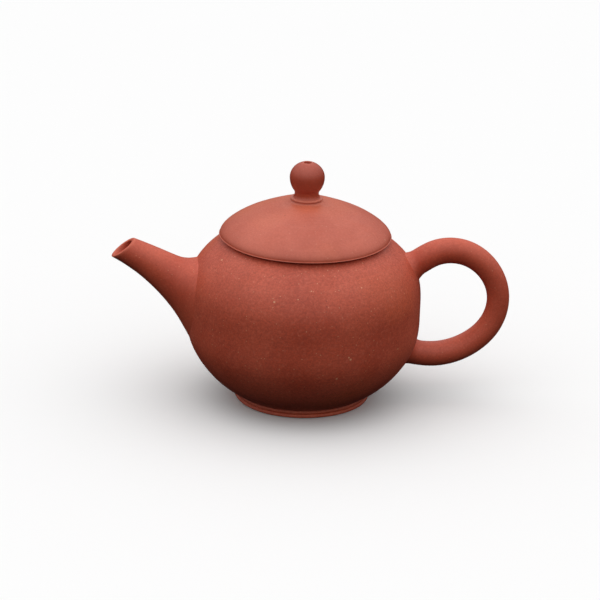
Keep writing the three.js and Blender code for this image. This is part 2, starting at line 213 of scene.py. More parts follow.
def skin(name, rings, ends="open"):
    """Mesh object over rings of points, (rings, sides, 3) in mm from the axis. The ends are open,
    capped with one face each, or joined to each other."""
    count, sides = rings.shape[:2]
    index = np.arange(count * sides).reshape(count, sides)
    if ends == "joined":
        index = np.vstack([index, index[:1]])
    here, there = index[:-1], index[1:]
    faces = np.stack([here, np.roll(here, -1, 1), np.roll(there, -1, 1), there], axis=2)
    faces = faces.reshape(-1, 4).tolist()
    if ends == "capped":
        faces += [index[0].tolist(), index[-1].tolist()]
    points = (by_hand(rings.reshape(-1, 3)) + AXIS) * MM
    mesh = bpy.data.meshes.new(name)
    mesh.from_pydata(points.tolist(), [], faces)
    tidy = bmesh.new()
    tidy.from_mesh(mesh)
    bmesh.ops.remove_doubles(tidy, verts=tidy.verts, dist=SAME_POINT)
    bmesh.ops.recalc_face_normals(tidy, faces=tidy.faces)
    tidy.to_mesh(mesh)
    tidy.free()
    mesh.shade_smooth()
    mark_wear(mesh)
    mesh.set_sharp_from_angle(angle=SHARP_ANGLE)
    piece = bpy.data.objects.new(name, mesh)
    bpy.context.scene.collection.objects.link(piece)
    return piece


print("a bend is shaded as an edge past", round(np.degrees(SHARP_ANGLE)), "degrees")


# %% Turning
TURNED_SIDES = 192  # faces round a turned piece


def turned_rings(outline, sides=TURNED_SIDES):
    """Rings about the upright axis from an outline of (radius, height)."""
    turn = np.linspace(0, 2 * np.pi, sides, endpoint=False)
    radius, height = np.asarray(outline, float).T[:, :, None]
    return np.stack([radius * np.cos(turn), radius * np.sin(turn), height + 0 * turn], axis=2)


def turned(name, outline, sides=TURNED_SIDES, ends="joined"):
    piece = skin(name, turned_rings(outline, sides), ends)
    print(f"{name}: {len(piece.data.vertices)} points")
    return piece


print(f"a face of the belly is {2 * np.pi * BELLY_RADIUS / TURNED_SIDES:.2f} mm wide")

# %% [markdown]
# ## The clay
# The clay is iron red and full of fine sand. It was burnished with a horn tool while leather hard, so
# it has a soft sheen with no glaze over it. Seen close it has a mottled tone a fingernail across, a
# fine grain, pale and dark grains of sand, pinholes, and faint marks that run the way the tool went.
# An image of clay would need unwrapping, and it blurs up close. Noise worked out from the place on the
# object stays sharp at any distance and needs no unwrapping, so that is how it is done here.


# %% Adding a node
def add(tree, kind, sockets, **settings):
    """Adds a shader node. A socket takes another node's output, or else a plain value."""
    made = tree.nodes.new("ShaderNode" + kind)
    for name, value in settings.items():
        setattr(made, name, value)
    for name, value in sockets.items():
        if isinstance(value, bpy.types.NodeSocket):
            tree.links.new(value, made.inputs[name])
        else:
            made.inputs[name].default_value = value
    return made


def ramp(tree, value, low, high, to_low=0.0, to_high=1.0):
    """A value eased from one range to another, and held at both ends."""
    sockets = {"Value": value, "From Min": low, "From Max": high, "To Min": to_low, "To Max": to_high}
    return add(tree, "MapRange", sockets, interpolation_type="SMOOTHSTEP").outputs[0]


MIX_UNDER, MIX_OVER, MIX_RESULT = 6, 7, 2  # places of the Mix node's colour sockets


def laid_over(tree, share, under, over):
    """One colour laid over another by a share from 0 to 1."""
    sockets = {"Factor": share, MIX_UNDER: under, MIX_OVER: over}
    return add(tree, "Mix", sockets, data_type="RGBA").outputs[MIX_RESULT]


def reckon(tree, operation, first, second=0.0):
    return add(tree, "Math", {0: first, 1: second}, operation=operation).outputs[0]


PATTERN_SHIFT = (0.3713, 0.5331, 0.2917)  # where the patterns start, in metres: it sets how they fall
FINER_STEP = 2.17  # how much finer each layer of the noise is than the one before


def grain(tree, place, size, detail=2.0):
    """Cloudy noise from 0 to 1 with blots of about a size in millimetres."""
    aside = add(tree, "VectorMath", {0: place, 1: PATTERN_SHIFT}, operation="ADD").outputs[0]
    sockets = {"Vector": aside, "Scale": 1 / (size * MM), "Detail": detail, "Lacunarity": FINER_STEP}
    return add(tree, "TexNoise", sockets).outputs[0]


print("the colour sockets of a mix are number", MIX_UNDER, "and", MIX_OVER)

# %% [markdown]
# ### Marks of the tool
# A rib held against a turning pot leaves rings about the axis, and a tool drawn along a handle leaves
# lines that follow its bend. Both are turnings about some centre: the pot's upright axis, or a level
# axis through the middle of the bend. Noise that changes fast across the turning and slowly along it
# gives lines that fade in and out, as real ones do.


# %% Tool marks
def tool_marks(tree, place, centre, upright, width, length):
    """Noise in fine lines round a centre, `width` across and `length` along, in millimetres."""
    offset = add(tree, "VectorMath", {0: place, 1: Vector(centre) * MM}, operation="SUBTRACT").outputs[0]
    flat = Vector((1, 1, 0)) if upright else Vector((1, 0, 1))
    across = add(tree, "VectorMath", {0: offset, 1: flat}, operation="MULTIPLY").outputs[0]
    radius = add(tree, "VectorMath", {0: across}, operation="LENGTH").outputs["Value"]
    parts = add(tree, "SeparateXYZ", {0: offset})
    rise = parts.outputs["Z"] if upright else parts.outputs["Y"]
    slow = reckon(tree, "MULTIPLY", parts.outputs["X"], width / length)
    lines = add(tree, "CombineXYZ", {"X": slow, "Y": radius, "Z": rise}).outputs[0]
    return grain(tree, lines, width, 3.0)


# %% [markdown]
# ### Sand and pinholes
# Sand lies at random, one grain to a patch, and most patches have none that shows. A Voronoi texture
# gives each patch one point, the distance to it, and a random colour that says whether this grain
# shows and how big it is. The same pattern with another patch size makes the pinholes.


# %% Sand
NO_GRAIN = 1e-4  # keeps the division by a grain's radius from one by 0
GRAIN_EDGE = (0.75, 1.15)  # a grain fades out between these shares of its radius


def sand(tree, place, patch, size, share):
    """1 on grains of about a size, one to a patch at most, in a share of the patches."""
    aside = add(tree, "VectorMath", {0: place, 1: PATTERN_SHIFT}, operation="ADD").outputs[0]
    cells = add(tree, "TexVoronoi", {"Vector": aside, "Scale": 1 / (patch * MM), "Randomness": 1.0})
    chance = add(tree, "SeparateColor", {0: cells.outputs["Color"]})
    radius = ramp(tree, chance.outputs["Red"], 1 - share, 1.0, 0.0, size / patch)
    edge = reckon(tree, "DIVIDE", cells.outputs["Distance"], reckon(tree, "ADD", radius, NO_GRAIN))
    return ramp(tree, edge, *GRAIN_EDGE, 1.0, 0.0)


# %% [markdown]
# ### One recipe for every finish
# All the clay comes from one bag, so there is one recipe with a few choices: how deep the tone is, how
# well it was burnished, which way the tool went, how strongly its marks still show, and how much of the
# sand lies bare. For the lid and the knob the tone also holds painted light: a painted sheen on the lid,
# painted shade on the knob. Height goes to one bump node, in real millimetres, and the burnished tops of
# the grain come out a little smoother than the hollows. Corners that fingers touch wear paler.

# %% The recipe
PALE_CLAY = (0.700, 0.118, 0.058, 1)
DEEP_CLAY = (0.600, 0.088, 0.040, 1)
ORANGE_CLAY = (0.740, 0.130, 0.048, 1)
SAND_GRAIN = (0.85, 0.42, 0.24, 1)
DARK_GRAIN = (0.16, 0.030, 0.022, 1)
WORN_CLAY = (0.76, 0.200, 0.120, 1)
MOTTLE, WARM_PATCH, SHEEN_PATCH, SPECKLE, FINE_GRAIN = 17, 31, 9, 1.0, 0.55  # sizes in mm
FINE_LINE, BROAD_BAND = (0.5, 22), (2.6, 60)  # width and length of a tool's marks, in mm
PALE_SAND, BIG_SAND, DARK_SAND = (1.2, 0.20, 0.75), (4.2, 0.38, 0.55), (2.1, 0.20, 0.50)
PINHOLE = (3.1, 0.13, 0.40)  # like the sand: patch and size in mm, then the share of patches
GRAIN_RISE, LINE_RISE, BAND_RISE, SAND_RISE, PINHOLE_DEPTH = 0.030, 0.010, 0.012, 0.018, 0.050  # mm
WEAR_SHARE = 0.35  # how much of the worn tone a sharp corner takes
CLAY_IOR = 1.5


def fired_clay(name, centre, upright, roughness, marks, sandy, tone=(1, 1, 1, 1)):
    material = bpy.data.materials.new(name)
    material.use_nodes = True
    tree = material.node_tree
    shader = tree.nodes["Principled BSDF"]
    place = add(tree, "TexCoord", {}).outputs["Object"]
    mottle = ramp(tree, grain(tree, place, MOTTLE), 0.32, 0.68)
    warm = ramp(tree, grain(tree, place, WARM_PATCH, 1.0), 0.50, 0.72, 0.0, 0.55)
    fine = grain(tree, place, FINE_GRAIN, 4.0)
    lines = tool_marks(tree, place, centre, upright, *FINE_LINE)
    bands = tool_marks(tree, place, centre, upright, *BROAD_BAND)

    colour = laid_over(tree, mottle, DEEP_CLAY, PALE_CLAY)
    colour = laid_over(tree, warm, colour, ORANGE_CLAY)
    colour = laid_over(tree, ramp(tree, fine, 0.35, 0.70, 0.26 * sandy, 0.0), colour, DARK_GRAIN)
    colour = laid_over(tree, ramp(tree, lines, 0.35, 0.70, 0.07 * marks, 0.0), colour, DARK_GRAIN)
    colour = laid_over(tree, ramp(tree, bands, 0.45, 0.75, 0.0, 0.05 * marks), colour, WORN_CLAY)
    speckle = grain(tree, place, SPECKLE)
    colour = laid_over(tree, ramp(tree, speckle, 0.52, 0.70, 0.0, 0.22 * sandy), colour, WORN_CLAY)
    colour = laid_over(tree, ramp(tree, speckle, 0.30, 0.46, 0.16 * sandy, 0.0), colour, DARK_GRAIN)
    pale_sand, big_sand, dark_sand = (sand(tree, place, *kind) for kind in (PALE_SAND, BIG_SAND, DARK_SAND))
    colour = laid_over(tree, reckon(tree, "MULTIPLY", pale_sand, 0.55 * sandy), colour, SAND_GRAIN)
    colour = laid_over(tree, reckon(tree, "MULTIPLY", big_sand, 0.75 * sandy), colour, SAND_GRAIN)
    colour = laid_over(tree, reckon(tree, "MULTIPLY", dark_sand, 0.55), colour, DARK_GRAIN)
    wear = add(tree, "Attribute", {}, attribute_name="edge_wear").outputs["Fac"]
    colour = laid_over(tree, reckon(tree, "MULTIPLY", wear, WEAR_SHARE), colour, WORN_CLAY)
    # The tone multiplies the whole colour. For the lid it is a painted sheen, for the knob painted shade.
    tint = {"Factor": 1.0, MIX_UNDER: colour, MIX_OVER: tone}
    tinted = add(tree, "Mix", tint, data_type="RGBA", blend_type="MULTIPLY")
    tree.links.new(tinted.outputs[MIX_RESULT], shader.inputs["Base Color"])

    sheen_change = ramp(tree, fine, 0.30, 0.70, roughness + 0.10, roughness - 0.05)
    patches = ramp(tree, grain(tree, place, SHEEN_PATCH), 0.30, 0.70, -0.04, 0.05)
    tree.links.new(reckon(tree, "ADD", sheen_change, patches), shader.inputs["Roughness"])

    height = reckon(tree, "MULTIPLY", fine, GRAIN_RISE * sandy)
    height = reckon(tree, "ADD", height, reckon(tree, "MULTIPLY", lines, LINE_RISE * marks))
    height = reckon(tree, "ADD", height, reckon(tree, "MULTIPLY", bands, BAND_RISE * marks))
    height = reckon(tree, "ADD", height, reckon(tree, "MULTIPLY", pale_sand, SAND_RISE))
    pinholes = sand(tree, place, *PINHOLE)
    height = reckon(tree, "SUBTRACT", height, reckon(tree, "MULTIPLY", pinholes, PINHOLE_DEPTH))
    bump = add(tree, "Bump", {"Height": height, "Distance": MM, "Strength": 1.0})
    tree.links.new(bump.outputs[0], shader.inputs["Normal"])
    shader.inputs["IOR"].default_value = CLAY_IOR
    print(f"{name}: {len(tree.nodes)} nodes")
    return material


# %% The finishes
handle_low, handle_high = span("handle")
spout_low, spout_high = span("spout")
LOOP_CENTRE = AXIS + ((BELLY_RADIUS + handle_high[0]) / 2, 0, (handle_low[2] + handle_high[2]) / 2)
SPOUT_BEND = AXIS + (1.7 * spout_low[0], 0, -0.9 * spout_high[2])
body_clay = fired_clay("burnished_body_clay", AXIS, True, 0.50, 1.0, 1.0)
# The lid's tone lifts green and blue: a painted sheen, the pale pinkish reflection on the dome painted into
# its colour.
lid_clay = fired_clay("burnished_lid_painted_sheen", AXIS, True, 0.45, 0.6, 0.35, (0.95, 1.24, 1.48, 1))
# The knob's tone darkens it all over: painted shade, standing in for the shade round its neck and under the
# ball.
knob_clay_painted_shade = fired_clay("rubbed_knob_painted_shade", AXIS, True, 0.35, 0.6, 0.35, (0.76, 0.76, 0.82, 1))
inside_clay = fired_clay("scraped_inside_clay", AXIS, True, 0.66, 2.2, 2.2, (0.93, 0.93, 0.93, 1))
handle_clay = fired_clay("rubbed_handle_clay", LOOP_CENTRE, False, 0.50, 0.6, 0.6)
spout_clay = fired_clay("rubbed_spout_clay", SPOUT_BEND, False, 0.50, 0.6, 0.6)


# %% Fitting a piece to the model
def fitted(piece, body, slot, finish, *nodes):
    """Gives a piece its finish and the body it moves with, and hides the pieces of the model it stands for.
    """
    piece.data.materials.append(finish)
    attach(piece, body)
    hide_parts(*nodes)
    return piece


# %% [markdown]
# ## The belly
# The wall is beaten round from a strip of clay, then closed by a disc at the bottom and a disc at the
# shoulder. The seams are worked over until nothing shows outside, so here the wall and the shoulder are
# one turned skin. Inside, where no tool can reach to smooth it, the shoulder's seam stays as a low
# ridge of slip. The nine knots are shares of the belly's height and of its radius: the pot is nearly
# upright in its middle third, and turns in faster at the shoulder than at the foot.

# %% The belly's outline
BELLY_KNOTS = [
    (0.00, 0.586),
    (0.07, 0.721),
    (0.19, 0.873),
    (0.34, 0.974),
    (0.53, 0.996),
    (0.72, 0.979),
    (0.86, 0.879),
    (0.94, 0.765),
    (0.99, 0.671),
]
belly_height = SEAT - BASE_BOTTOM
belly_side = smooth_line([(r * BELLY_RADIUS, BASE_BOTTOM + h * belly_height) for h, r in BELLY_KNOTS], 400)
belly_slope = np.gradient(belly_side[:, 0], belly_side[:, 1])


def belly_radius(height):
    return np.interp(height, belly_side[:, 1], belly_side[:, 0])


def outside_belly(points):
    """How far points in mm stand off the belly's surface, less than 0 inside it."""
    slope = np.interp(points[..., 2], belly_side[:, 1], belly_slope)
    return (np.hypot(points[..., 0], points[..., 1]) - belly_radius(points[..., 2])) / np.hypot(1, slope)


print(f"widest radius {belly_side[:, 0].max():.2f} mm, shoulder radius {belly_radius(SHOULDER_TOP):.2f} mm")

# %% The belly's wall
WALL = 2.6
SEAM_HEIGHT = span("belly_wall")[1][2]
SEAM_RIDGE = 0.45  # slip squeezed out inside the shoulder's seam
SEAM_WIDTH = 1.3
mouth_low = span("mouth_ring")[0][2]
FLANGE_PLAY = 0.35
MOUTH_RADIUS = span("lid_flange")[1][1] + FLANGE_PLAY

outer = belly_side[belly_side[:, 1] < SHOULDER_TOP - 0.3][::4]
way = np.gradient(outer, axis=0)
way /= np.linalg.norm(way, axis=1)[:, None]
inner = outer - WALL * np.stack([way[:, 1], -way[:, 0]], axis=1)
inner = inner[(inner[:, 1] > BASE_TOP - 0.4) & (inner[:, 0] > MOUTH_RADIUS + 0.3)]
inner[:, 0] -= SEAM_RIDGE * np.exp(-(((inner[:, 1] - SEAM_HEIGHT) / SEAM_WIDTH) ** 2))
lip = soften(
    [
        (*outer[-1], 0),
        (SEAT_RADIUS + 0.9, mouth_low + 0.05, 0.4),
        (MOUTH_RADIUS, mouth_low + 0.05, 0.3),
        (MOUTH_RADIUS, inner[-1][1] - 0.2, 0.8),
        (*inner[-1], 0),
    ]
)
belly = turned("belly", np.vstack([outer[:-1], lip, inner[:-1][::-1]]))

# %% [markdown]
# ### Piercing the wall
# Before the spout goes on, a hole is cut in the wall behind it for the strainer. A Boolean modifier
# cuts one mesh with another, just as a tube cutter would. Its result is kept as the piece's own mesh,
# so nothing later depends on the cutter.


# %% Cutting
def cut_from(piece, cutter):
    modifier = piece.modifiers.new("cut", "BOOLEAN")
    modifier.object = cutter
    modifier.operation = "DIFFERENCE"
    modifier.solver = "EXACT"
    cut = bpy.data.meshes.new_from_object(piece.evaluated_get(bpy.context.evaluated_depsgraph_get()))
    cut.name = piece.name
    piece.modifiers.clear()
    piece.data = cut
    bpy.data.meshes.remove(cutter.data)


def laid_level(rings, centre):
    """Rings made about the upright axis, tipped over to point along +X from a centre."""
    return rings[..., [2, 1, 0]] * (1, 1, -1) + centre


strainer_low, strainer_high = span("strainer")
STRAINER_RADIUS = strainer_high[1]
STRAINER_CENTRE = np.array([strainer_low[0], 0, (strainer_low[2] + strainer_high[2]) / 2])
hole = turned_rings([(STRAINER_RADIUS, -BELLY_RADIUS / 2), (STRAINER_RADIUS, BELLY_RADIUS / 2)], 64)
cut_from(belly, skin("strainer_cutter", laid_level(hole, STRAINER_CENTRE), "capped"))
fitted(belly, "pot", "body_clay", body_clay, "belly_wall", "shoulder_disc")
print(f"the wall has {len(belly.data.polygons)} faces and one hole {2 * STRAINER_RADIUS:.1f} mm wide")

# %% [markdown]
# ## Base, foot and mouth
# The base is a disc pressed up a little in the middle. Under it runs the foot: a low ring with two beads
# and a groove between them, turned with a shaped tool. Round the mouth lies a thin flat ring that the
# lid rests on. The beads come from one wave formula, since a round bead is just half a wave, and a power
# below one fills the wave out.

# %% The base
BASE_RISE = 0.9
BASE_GAP = 0.4  # left for the slip round its edge
base_edge = belly_radius(BASE_BOTTOM)
base_radii = np.linspace(0, base_edge - BASE_GAP, 24)
base_crown = BASE_RISE * np.cos(base_radii / base_edge * np.pi / 2) ** 2
base_top_radii = base_radii * (belly_radius(BASE_TOP) - WALL + 0.5) / base_radii[-1]
base_outline = np.vstack(
    [
        np.stack([base_radii, BASE_BOTTOM + base_crown], 1),
        np.stack([base_top_radii, BASE_TOP + 0.6 * base_crown], 1)[::-1],
    ]
)
base = turned("base", base_outline, ends="open")
fitted(base, "pot", "body_clay", inside_clay, "base_disc")

# %% The foot
FOOT_RADIUS, FOOT_TOP = span("foot_ring")[1][1:]
FOOT_WIDTH = 4.2
FOOT_GROOVE = 0.55
FOOT_BEVEL = 1.1
BEAD_FULLNESS = 0.45  # 1 is a plain wave, less is fuller
bead_heights = np.linspace(0.10, 1, 40)
bead_rounds = np.abs(np.sin(2 * np.pi * bead_heights)) ** BEAD_FULLNESS
beads = np.stack([FOOT_RADIUS - FOOT_GROOVE * (1 - bead_rounds), FOOT_TOP * bead_heights], 1)
foot_hollow = FOOT_RADIUS - FOOT_WIDTH
foot_corners = [(foot_hollow, BASE_BOTTOM + 0.5, 0), (foot_hollow + 0.3, 0, 0.7), (*beads[0], 0)]
foot_inside = soften(foot_corners)[:-1]
foot_top = [(beads[-1][0], BASE_BOTTOM + 0.1)]
foot_bottom = [(FOOT_RADIUS - FOOT_BEVEL, 0.0)]
foot = turned("foot", np.vstack([foot_inside, foot_bottom, beads, foot_top]))
fitted(foot, "pot", "body_clay", body_clay, "foot_ring")

# %% The ring round the mouth
mouth_ring = turned(
    "mouth_edge",
    soften(
        [
            (MOUTH_RADIUS, mouth_low - 0.1, 0),
            (SEAT_RADIUS, mouth_low - 0.1, 0.1),
            (SEAT_RADIUS, SEAT, 0.45),
            (MOUTH_RADIUS, SEAT, 0.4),
        ]
    ),
)
fitted(mouth_ring, "pot", "body_clay", body_clay, "mouth_ring")

# %% [markdown]
# ## The spout
# The spout is a cone of clay bent over a stick. It is cut on the slant at the tip, cut to the belly's
# curve at the root, luted on, and the slip is drawn out over the joint until it flares into the wall.
# A plain tube pushed through the belly would have a hard crease all round. Here every lengthwise line
# of the tube is followed from the slanted cut to the belly's surface, and near the surface it bends
# outwards. It bends most at the sides, a little on top, and not at all below, where tube and belly
# already run into each other.

# %% Lines along a tube
ACROSS = np.array([0.0, 1.0, 0.0])


def tube(line, sides):
    """Lengthwise lines of a round tube. The line has columns x, z and radius. Gives the points, the
    way out from the middle, and the way along, each as (sides, stations, 3)."""
    middle = np.stack([line[:, 0], 0 * line[:, 0], line[:, 1]], axis=1)
    along = np.gradient(middle, axis=0)
    along /= np.linalg.norm(along, axis=1)[:, None]
    upward = np.cross(along, ACROSS)
    turn = np.linspace(0, 2 * np.pi, sides, endpoint=False)[:, None, None]
    out = np.cos(turn) * upward + np.sin(turn) * ACROSS
    return middle + line[:, 2, None] * out, out, along + 0 * out


def first_below(values):
    """Fractional station at which each row of values first drops below 0."""
    rows = np.arange(len(values))
    after = np.argmax(values < 0, axis=1)
    low, high = values[rows, after], values[rows, after - 1]
    return after - low / (low - high)


def at(lines, stations):
    """Rows of points picked at fractional stations, one set of stations to a row."""
    whole = np.clip(stations.astype(int), 0, lines.shape[1] - 2)
    share = (stations - whole)[..., None]
    rows = np.arange(len(lines))[:, None]
    return lines[rows, whole] * (1 - share) + lines[rows, whole + 1] * share


print("2, 1, -1 drops below 0 at station", first_below(np.array([[2.0, 1.0, -1.0]]))[0])


# %% Luting a tube to the belly
SINK = 0.35  # how far a root reaches under the belly's surface
SETTLE_STEPS, SETTLE_SHARE = 10, 0.9  # small moves that bring a spread root back to the surface


def luted_rings(parts, start, count, flare, reach):
    """Rings of a tube from its start to its root on the belly. The flare, one value to a side, is how
    far the root spreads, and the reach is how far off the belly it begins."""
    points, out, along = parts
    stop = first_below(outside_belly(points) + SINK)
    share = np.linspace(0, 1, count) ** 0.8
    stations = start[:, None] + (stop - start)[:, None] * share
    points, out, along = (at(lines, stations) for lines in (points, out, along))
    depth = outside_belly(points)
    spread = flare[:, None] * np.clip(1 - depth / reach, 0, 1.06) ** 2
    points = points + spread[..., None] * out
    for _ in range(SETTLE_STEPS):
        off = SETTLE_SHARE * (outside_belly(points) - depth) * (spread > 0)
        points = points + off[..., None] * along
    return points.swapaxes(0, 1)


print("a root reaches", SINK, "mm under the belly's surface")

# %% The spout's skin
SPOUT_KNOTS = [  # shares of the spout's reach and height, then of its reach for the radius
    (1.030, 0.987, 0.0605),
    (0.971, 0.957, 0.0650),
    (0.806, 0.856, 0.0855),
    (0.667, 0.748, 0.1175),
    (0.531, 0.629, 0.1685),
    (0.401, 0.478, 0.2170),
]
SPOUT_SIDES, SPOUT_STATIONS = 96, 600
TIP_TILT = np.radians(37.6)
TIP_WALL, ROOT_WALL = 0.95, 3.0
spout_reach, spout_height = -spout_low[0], spout_high[2]
knots = [(-x * spout_reach, z * spout_height, r * spout_reach) for x, z, r in SPOUT_KNOTS]
spout_line = smooth_line(knots, SPOUT_STATIONS)
tip = np.array([-0.938 * spout_reach, 0, 0.948 * spout_height])
tip_normal = np.array([-np.sin(TIP_TILT), 0, np.cos(TIP_TILT)])
bore_line = spout_line - np.linspace(TIP_WALL, ROOT_WALL, SPOUT_STATIONS)[:, None] * (0, 0, 1)

turn = np.linspace(0, 2 * np.pi, SPOUT_SIDES, endpoint=False)
upper_side = 0.5 + 0.5 * np.cos(turn)  # 1 on top of the spout, 0 below it
spout_flare = 1.5 * np.clip(np.cos(turn), 0, 1) ** 2 + 4.2 * np.sin(turn) ** 2 * upper_side**0.35
LIP = 0.28  # rounding of the tip's edge

spout_tube, bore_tube = tube(spout_line, SPOUT_SIDES), tube(bore_line, SPOUT_SIDES)
outside_start, bore_start = (
    first_below((lines[0] - tip) @ tip_normal + LIP) for lines in (spout_tube, bore_tube)
)
spout_rings = luted_rings(spout_tube, outside_start, 110, spout_flare, 6.0)
bore_rings = luted_rings(bore_tube, bore_start, 60, 0 * spout_flare, 1.0)
edge_middle = (spout_rings[0] + bore_rings[0]) / 2
edge_half = (spout_rings[0] - bore_rings[0]) / 2
lip_rings = [
    edge_middle - np.cos(bend) * edge_half + np.sin(bend) * LIP * tip_normal
    for bend in np.linspace(0, np.pi, 9)[1:-1]
]
spout = skin("spout_tube", np.concatenate([spout_rings, bore_rings[::-1], lip_rings]), "joined")
fitted(spout, "pot", "body_clay", spout_clay, "spout")
print(f"the spout runs from x = {spout_rings[..., 0].min():.1f} to {spout_rings[..., 0].max():.1f} mm")

# %% [markdown]
# ## The strainer
# Behind the spout a small ball of clay, pierced with a needle tool, keeps the leaves back. It is half
# a hollow ball on a short collar that plugs the hole in the wall. The holes stand in rings about its
# own axis, and each is cut square to the ball's surface, as a needle goes in. All the needles are one
# mesh, so a single cut makes every hole.

# %% The pierced ball
STRAINER_WALL = 1.5
HOLE_RADIUS = 0.8
HOLE_RINGS = [(1, 0), (6, 28), (10, 55)]  # how many holes, and degrees off the ball's axis
collar_height = strainer_high[0] - strainer_low[0] - STRAINER_RADIUS
quarter = np.linspace(0, np.pi / 2, 24)


def ball_arc(radius):
    return np.stack([radius * np.cos(quarter), collar_height + radius * np.sin(quarter)], 1)


ball_outline = np.vstack(
    [
        ball_arc(STRAINER_RADIUS - STRAINER_WALL)[::-1],
        [(STRAINER_RADIUS - STRAINER_WALL, 0), (STRAINER_RADIUS, 0)],
        ball_arc(STRAINER_RADIUS),
    ]
)
strainer = skin("strainer_ball", laid_level(turned_rings(ball_outline, 96), STRAINER_CENTRE), "open")
needles = bmesh.new()
for holes, lean in HOLE_RINGS:
    for k in range(holes):
        round_axis = Matrix.Rotation(2 * np.pi * k / holes, 4, "X")
        tilt = round_axis @ Matrix.Rotation(np.radians(90 - lean), 4, "Y")
        middle = Matrix.Translation(Vector(STRAINER_CENTRE + AXIS + (collar_height, 0, 0)) * MM)
        needle = middle @ tilt @ Matrix.Translation((0, 0, STRAINER_RADIUS * MM))
        size = {"radius1": HOLE_RADIUS * MM, "radius2": HOLE_RADIUS * MM, "depth": 4 * STRAINER_WALL * MM}
        bmesh.ops.create_cone(needles, cap_ends=True, segments=20, matrix=needle, **size)
needle_mesh = bpy.data.meshes.new("needles")
needles.to_mesh(needle_mesh)
needles.free()
needle_set = bpy.data.objects.new("needles", needle_mesh)
bpy.context.scene.collection.objects.link(needle_set)
cut_from(strainer, needle_set)
fitted(strainer, "pot", "inside_clay", inside_clay, "strainer")
print(f"the strainer has {sum(count for count, _ in HOLE_RINGS)} holes")

# %% [markdown]
# ## The handle
# The handle is a roll of clay, a little thinner at the far side of the loop, bent like an ear and
# luted on at two roots. Its middle line has eleven knots, as shares of its reach past the belly and of
# its height. Each half is followed from the far side to its own root and flared there, and the two
# halves make one skin.

# %% The handle's skin
HANDLE_KNOTS = [
    (-0.38, 0.745),
    (-0.124, 0.850),
    (0.184, 0.980),
    (0.540, 0.981),
    (0.848, 0.830),
    (1.000, 0.575),
    (0.908, 0.289),
    (0.588, 0.078),
    (0.190, 0.000),
    (-0.231, 0.035),
    (-0.45, 0.065),
]
HANDLE_RADII = [4.45, 4.38, 4.38, 4.27, 4.01, 3.84, 3.95, 4.16, 4.23, 4.19, 4.19]
HANDLE_SIDES, HANDLE_STATIONS = 64, 1200
loop_reach = handle_high[0] - min(HANDLE_RADII) - BELLY_RADIUS - 0.05
loop_low = handle_low[2] + HANDLE_RADII[8] - 0.08
loop_high = handle_high[2] - HANDLE_RADII[3] - 0.02
knots = [
    (BELLY_RADIUS + x * loop_reach, loop_low + z * (loop_high - loop_low), radius)
    for (x, z), radius in zip(HANDLE_KNOTS, HANDLE_RADII)
]
points, out, along = tube(smooth_line(knots, HANDLE_STATIONS), HANDLE_SIDES)
FAR_SIDE = HANDLE_STATIONS // 2  # the station that both halves start from
turn = np.linspace(0, 2 * np.pi, HANDLE_SIDES, endpoint=False)
handle_flare = 0.75 + 0.35 * np.sin(turn) ** 2
upper_half = [lines[:, FAR_SIDE::-1] for lines in (points, out, -along)]
lower_half = [lines[:, FAR_SIDE:] for lines in (points, out, along)]
no_start = np.zeros(HANDLE_SIDES)
upper, lower = (luted_rings(half, no_start, 90, handle_flare, 2.6) for half in (upper_half, lower_half))
handle = skin("handle_loop", np.concatenate([upper[:0:-1], lower]), "capped")
fitted(handle, "pot", "body_clay", handle_clay, "handle")
print(f"the handle reaches x = {lower[..., 0].max():.1f} mm and height {upper[..., 2].max():.1f} mm")

# %% [markdown]
# ## The lid
# The lid is a domed disc with a narrow strip round its edge, hollowed below, and a ring luted under it
# that drops into the mouth. The knob sits on top on a little collar, and one hole runs through all
# three so that air can get in as the tea runs out. The dome's knots are shares of the lid's radius and
# of the crown's height. Disc and strip lie on the same line, so the seam between them hardly shows;
# the strip's lower edge stands out as a thin lip that catches the light.

# %% The dome's line
LID_LOW, LID_TOP = span("lid_disc")[0][2], span("lid_disc")[1][2]
LID_RADIUS = span("lid_rim")[1][1]
DISC_RADIUS = span("lid_disc")[1][1]
DOME_KNOTS = [
    (0.205, 1.0),
    (0.30, 0.975),
    (0.445, 0.863),
    (0.616, 0.693),
    (0.753, 0.535),
    (0.873, 0.352),
    (0.945, 0.200),
    (0.972, 0.108),
    (0.979, 0.055),
    (0.979, 0.022),
]
crown = LID_TOP - LID_LOW
dome = smooth_line([(r * LID_RADIUS, LID_LOW + z * crown) for r, z in DOME_KNOTS], 160)
print(f"the dome falls {LID_TOP - dome[-1][1]:.1f} mm from the knob to the edge")

# %% The domed disc
VENT_RADIUS = 1.25
FLANGE_WALL = 2.4
HOLLOW_RADIUS = span("lid_flange")[1][1] - FLANGE_WALL
LID_WALL = 2.0
seam_height = np.interp(DISC_RADIUS, dome[:, 0], dome[:, 1])
disc_top = np.vstack([dome[dome[:, 0] < DISC_RADIUS], [(DISC_RADIUS, seam_height)]])
bend = np.linspace(0, np.pi / 2, 40)
hollow_radii = VENT_RADIUS + (HOLLOW_RADIUS - VENT_RADIUS) * np.sin(bend)
hollow = np.stack([hollow_radii, LID_LOW + (crown - LID_WALL) * np.cos(bend)], 1)
PAD_RISE = 0.80  # slip drawn up round the knob's collar
fillet = [(5.75, LID_TOP + 0.12), (5.40, LID_TOP + 0.30), (5.15, LID_TOP + 0.55), (5.0, LID_TOP + PAD_RISE)]
vent_top = [(VENT_RADIUS, LID_TOP + PAD_RISE)]
disc_bottom = [(HOLLOW_RADIUS, LID_LOW), (DISC_RADIUS, LID_LOW)]
disc_outline = np.vstack([disc_top[::-1], fillet, vent_top, hollow[:-1], disc_bottom])
SEAM_REACH = 0.3


